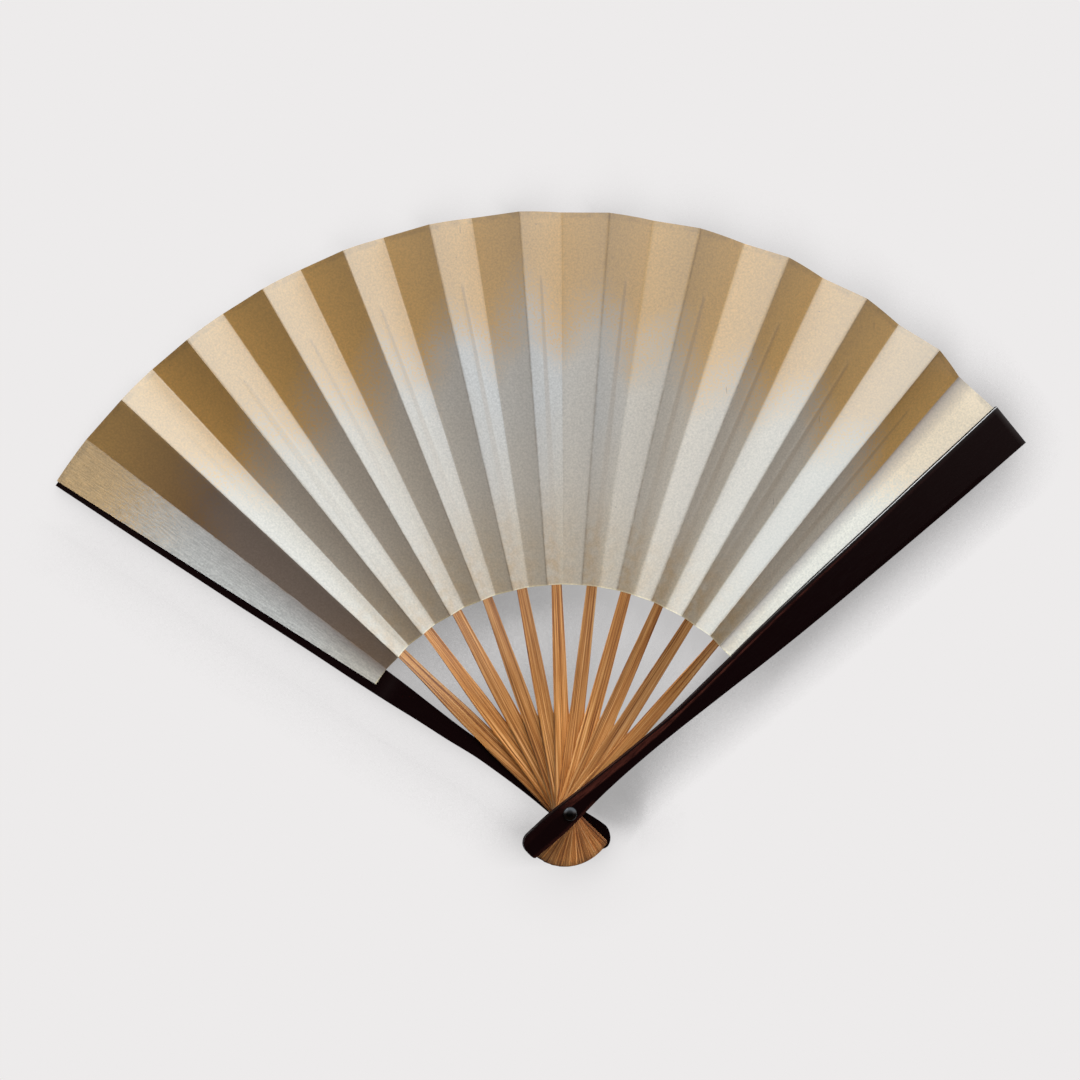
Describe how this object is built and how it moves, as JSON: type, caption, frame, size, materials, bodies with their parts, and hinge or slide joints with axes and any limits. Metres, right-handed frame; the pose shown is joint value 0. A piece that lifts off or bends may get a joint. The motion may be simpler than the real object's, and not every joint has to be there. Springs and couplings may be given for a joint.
{
  "type": "folding fan",
  "caption": "Open folding fan: bamboo ribs and two lacquered guards turn on one rivet and carry a pleated gold and silver paper leaf.",
  "frame": {"origin": "centre of the rivet's flat rear head, on its rear face", "axes": "+Z along the rivet towards the fan's front, +Y from the rivet towards the middle of the open leaf, +X to the right seen from the front"},
  "size_m": [0.4356, 0.2912, 0.0281],
  "materials": {
    "leaf_paper": "washi paper, gold at the rim fading to silver",
    "bamboo": "stained split bamboo",
    "lacquered_wood": "black lacquer with a red-brown tinge",
    "dark_metal": "polished, blackened"
  },
  "bodies": {
    "rear_guard": {"rear_guard": "lacquered_wood", "rivet_pin": "dark_metal", "rivet_rear_head": "dark_metal", "leaf_panel_01": "leaf_paper"},
    "front_guard": {"front_guard": "lacquered_wood", "leaf_panel_25": "leaf_paper"},
    "leaf_panel_02": {"leaf_panel_02": "leaf_paper"},
    "rib_01": {"rib_01": "bamboo"},
    "leaf_panel_03": {"leaf_panel_03": "leaf_paper"},
    "leaf_panel_04": {"leaf_panel_04": "leaf_paper"},
    "rib_02": {"rib_02": "bamboo"},
    "leaf_panel_05": {"leaf_panel_05": "leaf_paper"},
    "leaf_panel_06": {"leaf_panel_06": "leaf_paper"},
    "rib_03": {"rib_03": "bamboo"},
    "leaf_panel_07": {"leaf_panel_07": "leaf_paper"},
    "leaf_panel_08": {"leaf_panel_08": "leaf_paper"},
    "rib_04": {"rib_04": "bamboo"},
    "leaf_panel_09": {"leaf_panel_09": "leaf_paper"},
    "leaf_panel_10": {"leaf_panel_10": "leaf_paper"},
    "rib_05": {"rib_05": "bamboo"},
    "leaf_panel_11": {"leaf_panel_11": "leaf_paper"},
    "leaf_panel_12": {"leaf_panel_12": "leaf_paper"},
    "rib_06": {"rib_06": "bamboo"},
    "leaf_panel_13": {"leaf_panel_13": "leaf_paper"},
    "leaf_panel_14": {"leaf_panel_14": "leaf_paper"},
    "rib_07": {"rib_07": "bamboo"},
    "leaf_panel_15": {"leaf_panel_15": "leaf_paper"},
    "leaf_panel_16": {"leaf_panel_16": "leaf_paper"},
    "rib_08": {"rib_08": "bamboo"},
    "leaf_panel_17": {"leaf_panel_17": "leaf_paper"},
    "leaf_panel_18": {"leaf_panel_18": "leaf_paper"},
    "rib_09": {"rib_09": "bamboo"},
    "leaf_panel_19": {"leaf_panel_19": "leaf_paper"},
    "leaf_panel_20": {"leaf_panel_20": "leaf_paper"},
    "rib_10": {"rib_10": "bamboo"},
    "leaf_panel_21": {"leaf_panel_21": "leaf_paper"},
    "leaf_panel_22": {"leaf_panel_22": "leaf_paper"},
    "rib_11": {"rib_11": "bamboo"},
    "leaf_panel_23": {"leaf_panel_23": "leaf_paper"},
    "leaf_panel_24": {"leaf_panel_24": "leaf_paper"}
  },
  "joints": [
    {"name": "fan_spread", "type": "hinge", "parent": "rear_guard", "child": "front_guard", "pos_m": [0, 0, 0], "axis": [0, 0, 1], "range_deg": [0, 104.53], "deforming": ["leaf_panel_02", "rib_01", "leaf_panel_04", "rib_02", "leaf_panel_06", "rib_03", "leaf_panel_08", "rib_04", "leaf_panel_10", "rib_05", "leaf_panel_12", "rib_06", "leaf_panel_14", "rib_07", "leaf_panel_16", "rib_08", "leaf_panel_18", "rib_09", "leaf_panel_20", "rib_10", "leaf_panel_22", "rib_11", "leaf_panel_24"]},
    {"name": "leaf_panel_02_fold", "type": "hinge", "parent": "rear_guard", "child": "leaf_panel_02", "pos_m": [0.00157, 0.00203, 0.0046], "axis": [-0.7645, 0.6446, 0], "range_deg": [-161.55, 0]},
    {"name": "rib_01_swing", "type": "hinge", "parent": "rear_guard", "child": "rib_01", "pos_m": [0, 0, 0], "axis": [0, 0, 1], "range_deg": [0, 9.06]},
    {"name": "leaf_panel_03_tilt", "type": "hinge", "parent": "rib_01", "child": "leaf_panel_03", "pos_m": [0, 0, 0.0056], "axis": [-0.6743, 0.7385, 0], "range_deg": [-28.5, 0]},
    {"name": "leaf_panel_04_fold", "type": "hinge", "parent": "leaf_panel_03", "child": "leaf_panel_04", "pos_m": [-0.00001, -0.00001, 0.00606], "axis": [-0.6465, 0.7627, -0.02], "range_deg": [-118.97, 0]},
    {"name": "rib_02_swing", "type": "hinge", "parent": "rear_guard", "child": "rib_02", "pos_m": [0, 0, 0], "axis": [0, 0, 1], "range_deg": [0, 17.42]},
    {"name": "leaf_panel_05_tilt", "type": "hinge", "parent": "rib_02", "child": "leaf_panel_05", "pos_m": [0, 0, 0.0072], "axis": [-0.5597, 0.8287, 0], "range_deg": [-23, 0]},
    {"name": "leaf_panel_06_fold", "type": "hinge", "parent": "leaf_panel_05", "child": "leaf_panel_06", "pos_m": [-0.00003, -0.00002, 0.00765], "axis": [-0.5273, 0.8496, -0.0164], "range_deg": [-126.04, 0]},
    {"name": "rib_03_swing", "type": "hinge", "parent": "rear_guard", "child": "rib_03", "pos_m": [0, 0, 0], "axis": [0, 0, 1], "range_deg": [0, 25.91]},
    {"name": "leaf_panel_07_tilt", "type": "hinge", "parent": "rib_03", "child": "leaf_panel_07", "pos_m": [0, 0, 0.0088], "axis": [-0.4312, 0.9022, 0], "range_deg": [-25.5, 0]},
    {"name": "leaf_panel_08_fold", "type": "hinge", "parent": "leaf_panel_07", "child": "leaf_panel_08", "pos_m": [-0.00002, -0.00001, 0.00925], "axis": [-0.3967, 0.9178, -0.018], "range_deg": [-122.74, 0]},
    {"name": "rib_04_swing", "type": "hinge", "parent": "rear_guard", "child": "rib_04", "pos_m": [0, 0, 0], "axis": [0, 0, 1], "range_deg": [0, 34.34]},
    {"name": "leaf_panel_09_tilt", "type": "hinge", "parent": "rib_04", "child": "leaf_panel_09", "pos_m": [0, 0, 0.0104], "axis": [-0.2943, 0.9557, 0], "range_deg": [-24.5, 0]},
    {"name": "leaf_panel_10_fold", "type": "hinge", "parent": "leaf_panel_09", "child": "leaf_panel_10", "pos_m": [-0.00002, -0.00001, 0.01085], "axis": [-0.2576, 0.9661, -0.0174], "range_deg": [-126.14, 0]},
    {"name": "rib_05_swing", "type": "hinge", "parent": "rear_guard", "child": "rib_05", "pos_m": [0, 0, 0], "axis": [0, 0, 1], "range_deg": [0, 42.95]},
    {"name": "leaf_panel_11_tilt", "type": "hinge", "parent": "rib_05", "child": "leaf_panel_11", "pos_m": [0, 0, 0.012], "axis": [-0.148, 0.989, 0], "range_deg": [-21, 0]},
    {"name": "leaf_panel_12_fold", "type": "hinge", "parent": "leaf_panel_11", "child": "leaf_panel_12", "pos_m": [-0.00003, 0, 0.01244], "axis": [-0.1092, 0.9939, -0.015], "range_deg": [-130.95, 0]},
    {"name": "rib_06_swing", "type": "hinge", "parent": "rear_guard", "child": "rib_06", "pos_m": [0, 0, 0], "axis": [0, 0, 1], "range_deg": [0, 51.64]},
    {"name": "leaf_panel_13_tilt", "type": "hinge", "parent": "rib_06", "child": "leaf_panel_13", "pos_m": [0, 0, 0.0136], "axis": [0.0033, 1, 0], "range_deg": [-22, 0]},
    {"name": "leaf_panel_14_fold", "type": "hinge", "parent": "leaf_panel_13", "child": "leaf_panel_14", "pos_m": [-0.00002, 0, 0.01404], "axis": [0.0421, 0.999, -0.0157], "range_deg": [-131.8, 0]},
    {"name": "rib_07_swing", "type": "hinge", "parent": "rear_guard", "child": "rib_07", "pos_m": [0, 0, 0], "axis": [0, 0, 1], "range_deg": [0, 60.46]},
    {"name": "leaf_panel_15_tilt", "type": "hinge", "parent": "rib_07", "child": "leaf_panel_15", "pos_m": [0, 0, 0.0152], "axis": [0.1565, 0.9877, 0], "range_deg": [-17.5, 0]},
    {"name": "leaf_panel_16_fold", "type": "hinge", "parent": "leaf_panel_15", "child": "leaf_panel_16", "pos_m": [-0.00002, 0, 0.01562], "axis": [0.1959, 0.9806, -0.0126], "range_deg": [-140.47, 0]},
    {"name": "rib_08_swing", "type": "hinge", "parent": "rear_guard", "child": "rib_08", "pos_m": [0, 0, 0], "axis": [0, 0, 1], "range_deg": [0, 69.53]},
    {"name": "leaf_panel_17_tilt", "type": "hinge", "parent": "rib_08", "child": "leaf_panel_17", "pos_m": [0, 0, 0.0168], "axis": [0.3102, 0.9507, 0], "range_deg": [-14, 0]},
    {"name": "leaf_panel_18_fold", "type": "hinge", "parent": "leaf_panel_17", "child": "leaf_panel_18", "pos_m": [-0.00004, 0.00001, 0.01722], "axis": [0.3486, 0.9372, -0.0101], "range_deg": [-140.65, 0]},
    {"name": "rib_09_swing", "type": "hinge", "parent": "rear_guard", "child": "rib_09", "pos_m": [0, 0, 0], "axis": [0, 0, 1], "range_deg": [0, 78.38]},
    {"name": "leaf_panel_19_tilt", "type": "hinge", "parent": "rib_09", "child": "leaf_panel_19", "pos_m": [0, 0, 0.0184], "axis": [0.4529, 0.8916, 0], "range_deg": [-24, 0]},
    {"name": "leaf_panel_20_fold", "type": "hinge", "parent": "leaf_panel_19", "child": "leaf_panel_20", "pos_m": [-0.00001, 0.00001, 0.01884], "axis": [0.4866, 0.8735, -0.017], "range_deg": [-128.23, 0]},
    {"name": "rib_10_swing", "type": "hinge", "parent": "rear_guard", "child": "rib_10", "pos_m": [0, 0, 0], "axis": [0, 0, 1], "range_deg": [0, 87.1]},
    {"name": "leaf_panel_21_tilt", "type": "hinge", "parent": "rib_10", "child": "leaf_panel_21", "pos_m": [0, 0, 0.02], "axis": [0.5827, 0.8127, 0], "range_deg": [-18.5, 0]},
    {"name": "leaf_panel_22_fold", "type": "hinge", "parent": "leaf_panel_21", "child": "leaf_panel_22", "pos_m": [-0.00004, 0.00003, 0.02044], "axis": [0.6145, 0.7888, -0.0133], "range_deg": [-129.17, 0]},
    {"name": "rib_11_swing", "type": "hinge", "parent": "rear_guard", "child": "rib_11", "pos_m": [0, 0, 0], "axis": [0, 0, 1], "range_deg": [0, 95.44]},
    {"name": "leaf_panel_23_tilt", "type": "hinge", "parent": "rib_11", "child": "leaf_panel_23", "pos_m": [0, 0, 0.0216], "axis": [0.6944, 0.7195, 0], "range_deg": [-33, 0]},
    {"name": "leaf_panel_24_fold", "type": "hinge", "parent": "leaf_panel_23", "child": "leaf_panel_24", "pos_m": [0.00003, -0.00003, 0.02204], "axis": [0.7191, 0.6945, -0.0228], "range_deg": [-126.5, 0]}
  ],
  "couplings": [
    {"joint": "leaf_panel_02_fold", "follows": "fan_spread", "ratio": -1.5455},
    {"joint": "rib_01_swing", "follows": "fan_spread", "ratio": 0.086672},
    {"joint": "leaf_panel_03_tilt", "follows": "fan_spread", "ratio": -0.27265},
    {"joint": "leaf_panel_04_fold", "follows": "fan_spread", "ratio": -1.1381},
    {"joint": "rib_02_swing", "follows": "fan_spread", "ratio": 0.16668},
    {"joint": "leaf_panel_05_tilt", "follows": "fan_spread", "ratio": -0.22003},
    {"joint": "leaf_panel_06_fold", "follows": "fan_spread", "ratio": -1.2058},
    {"joint": "rib_03_swing", "follows": "fan_spread", "ratio": 0.24789},
    {"joint": "leaf_panel_07_tilt", "follows": "fan_spread", "ratio": -0.24395},
    {"joint": "leaf_panel_08_fold", "follows": "fan_spread", "ratio": -1.1742},
    {"joint": "rib_04_swing", "follows": "fan_spread", "ratio": 0.32852},
    {"joint": "leaf_panel_09_tilt", "follows": "fan_spread", "ratio": -0.23438},
    {"joint": "leaf_panel_10_fold", "follows": "fan_spread", "ratio": -1.2067},
    {"joint": "rib_05_swing", "follows": "fan_spread", "ratio": 0.41085},
    {"joint": "leaf_panel_11_tilt", "follows": "fan_spread", "ratio": -0.2009},
    {"joint": "leaf_panel_12_fold", "follows": "fan_spread", "ratio": -1.2527},
    {"joint": "rib_06_swing", "follows": "fan_spread", "ratio": 0.49407},
    {"joint": "leaf_panel_13_tilt", "follows": "fan_spread", "ratio": -0.21047},
    {"joint": "leaf_panel_14_fold", "follows": "fan_spread", "ratio": -1.2609},
    {"joint": "rib_07_swing", "follows": "fan_spread", "ratio": 0.57843},
    {"joint": "leaf_panel_15_tilt", "follows": "fan_spread", "ratio": -0.16742},
    {"joint": "leaf_panel_16_fold", "follows": "fan_spread", "ratio": -1.3438},
    {"joint": "rib_08_swing", "follows": "fan_spread", "ratio": 0.66515},
    {"joint": "leaf_panel_17_tilt", "follows": "fan_spread", "ratio": -0.13393},
    {"joint": "leaf_panel_18_fold", "follows": "fan_spread", "ratio": -1.3455},
    {"joint": "rib_09_swing", "follows": "fan_spread", "ratio": 0.74987},
    {"joint": "leaf_panel_19_tilt", "follows": "fan_spread", "ratio": -0.2296},
    {"joint": "leaf_panel_20_fold", "follows": "fan_spread", "ratio": -1.2268},
    {"joint": "rib_10_swing", "follows": "fan_spread", "ratio": 0.83323},
    {"joint": "leaf_panel_21_tilt", "follows": "fan_spread", "ratio": -0.17698},
    {"joint": "leaf_panel_22_fold", "follows": "fan_spread", "ratio": -1.2357},
    {"joint": "rib_11_swing", "follows": "fan_spread", "ratio": 0.91304},
    {"joint": "leaf_panel_23_tilt", "follows": "fan_spread", "ratio": -0.3157},
    {"joint": "leaf_panel_24_fold", "follows": "fan_spread", "ratio": -1.2102}
  ]
}
